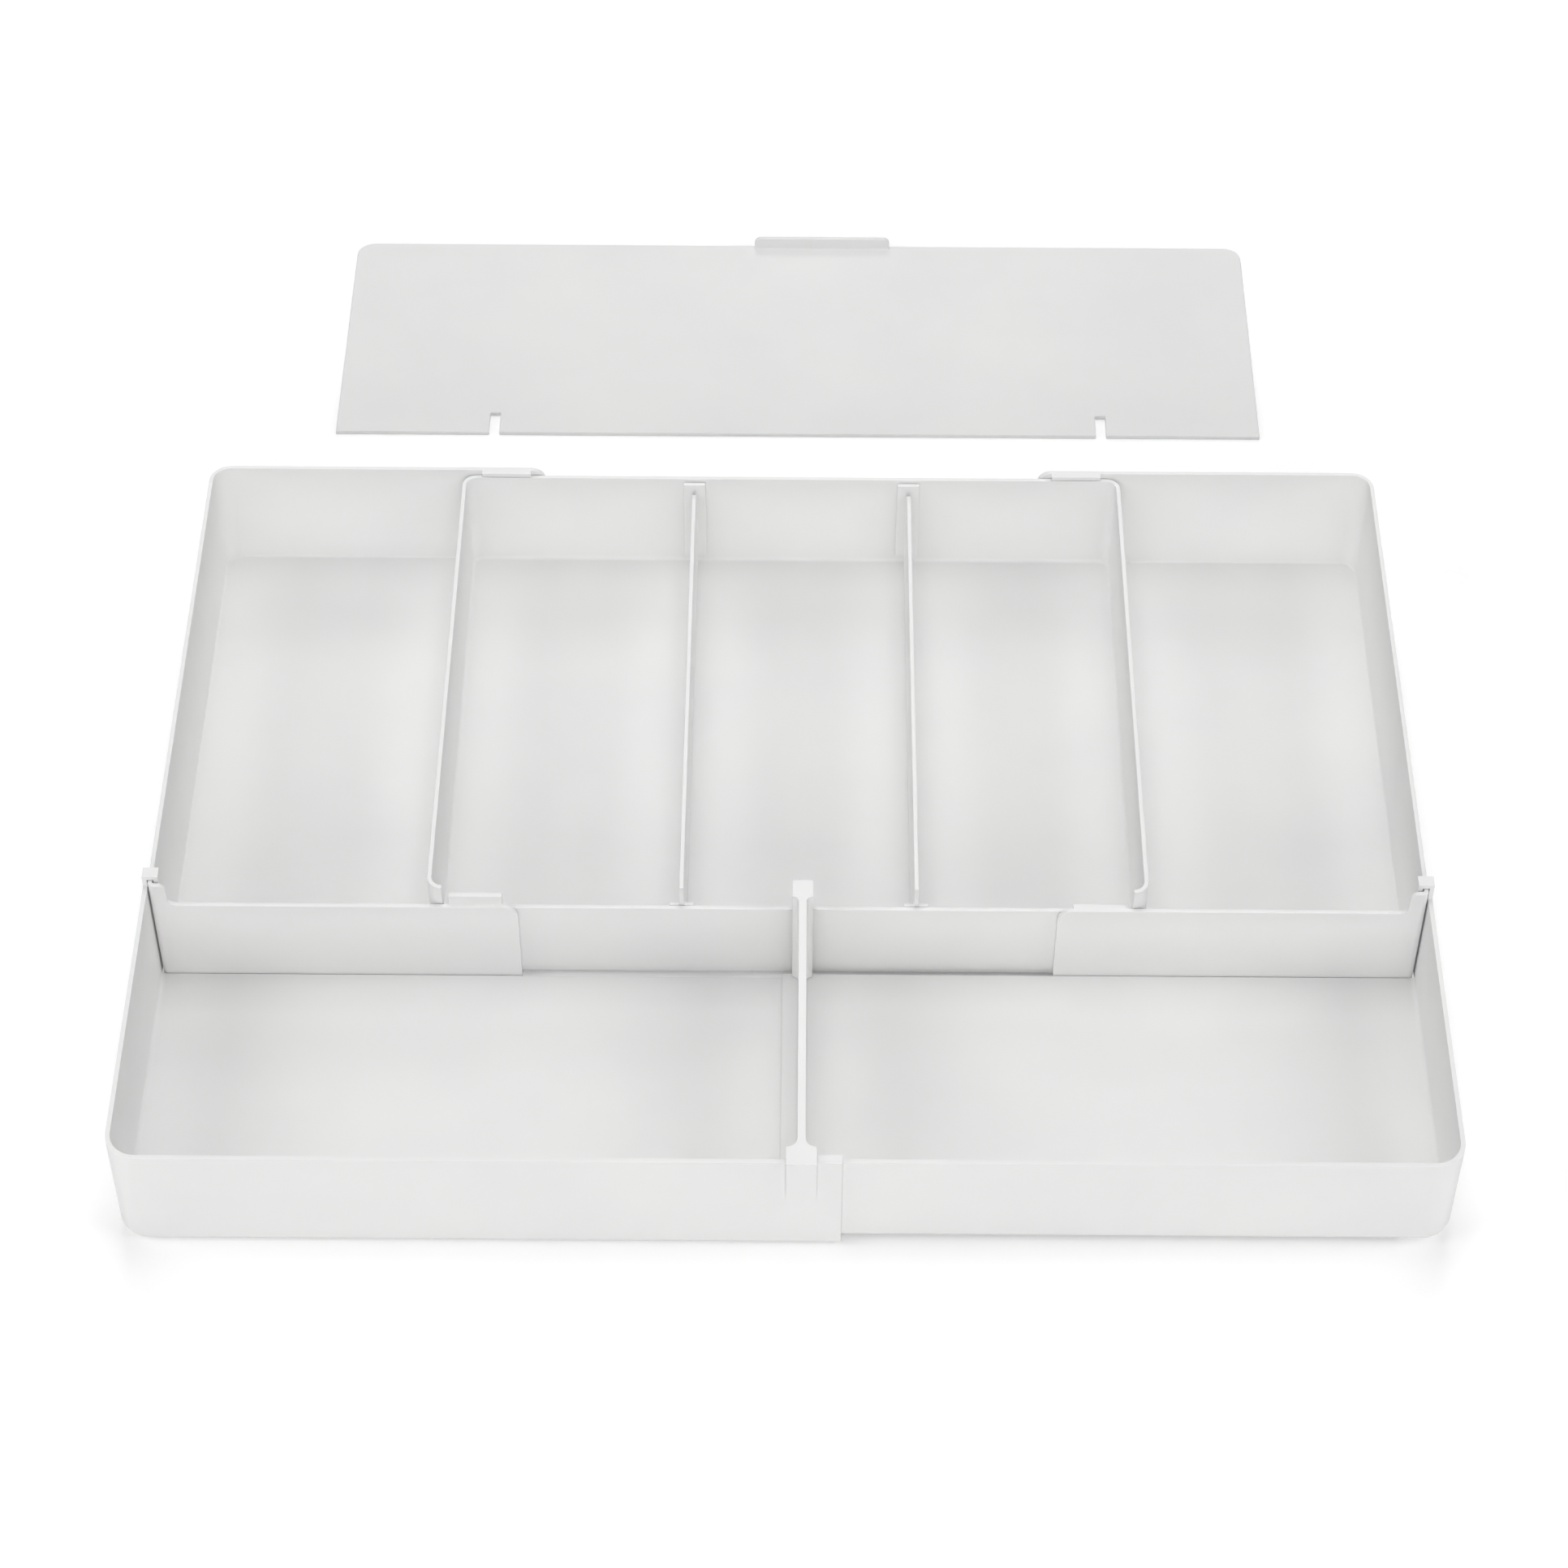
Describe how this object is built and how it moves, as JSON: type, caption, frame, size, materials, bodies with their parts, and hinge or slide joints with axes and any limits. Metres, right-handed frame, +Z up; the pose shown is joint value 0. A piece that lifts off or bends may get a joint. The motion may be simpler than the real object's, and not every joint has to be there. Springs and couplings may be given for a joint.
{
  "type": "adjustable drawer organizer",
  "caption": "White plastic drawer organizer: side trays slide out from a middle tray, front trays telescope with them, with a clip divider, loose dividers and a flat cover panel.",
  "frame": {"origin": "on the surface that the organizer stands on, under the centre of its outline at rest, with the cover panel lying behind the trays", "axes": "+X along the width, to the right; +Y from the front row to the back; +Z up"},
  "size_m": [0.5044, 0.5792, 0.0572],
  "materials": {
    "tray_plastic": "moulded white polypropylene, fine matt texture",
    "divider_plastic": "moulded white polypropylene, satin",
    "panel_plastic": "moulded white polypropylene sheet, matt"
  },
  "bodies": {
    "middle": {"middle_tray": "tray_plastic"},
    "left_side": {"left_side_tray": "tray_plastic", "front_left_tray": "tray_plastic"},
    "right_side": {"right_side_tray": "tray_plastic", "front_right_tray": "tray_plastic"},
    "clip": {"clip_divider": "divider_plastic"},
    "left_split": {"left_divider": "divider_plastic"},
    "right_split": {"right_divider": "divider_plastic"},
    "cover": {"cover_panel": "panel_plastic"}
  },
  "joints": [
    {"name": "left_slide", "type": "slide", "parent": "middle", "child": "left_side", "axis": [1, 0, 0], "range_m": [0, 0.09]},
    {"name": "right_slide", "type": "slide", "parent": "middle", "child": "right_side", "axis": [-1, 0, 0], "range_m": [0, 0.09]},
    {"name": "clip_slide", "type": "slide", "parent": "middle", "child": "clip", "axis": [1, 0, 0], "range_m": [-0.02, 0]},
    {"name": "left_divider_slide", "type": "slide", "parent": "middle", "child": "left_split", "axis": [1, 0, 0], "range_m": [-0.08, 0.015]},
    {"name": "right_divider_slide", "type": "slide", "parent": "middle", "child": "right_split", "axis": [1, 0, 0], "range_m": [-0.03, 0.07]},
    {"name": "cover_lift", "type": "slide", "parent": "middle", "child": "cover", "axis": [0, 0, 1], "range_m": [0, 0.1]}
  ]
}
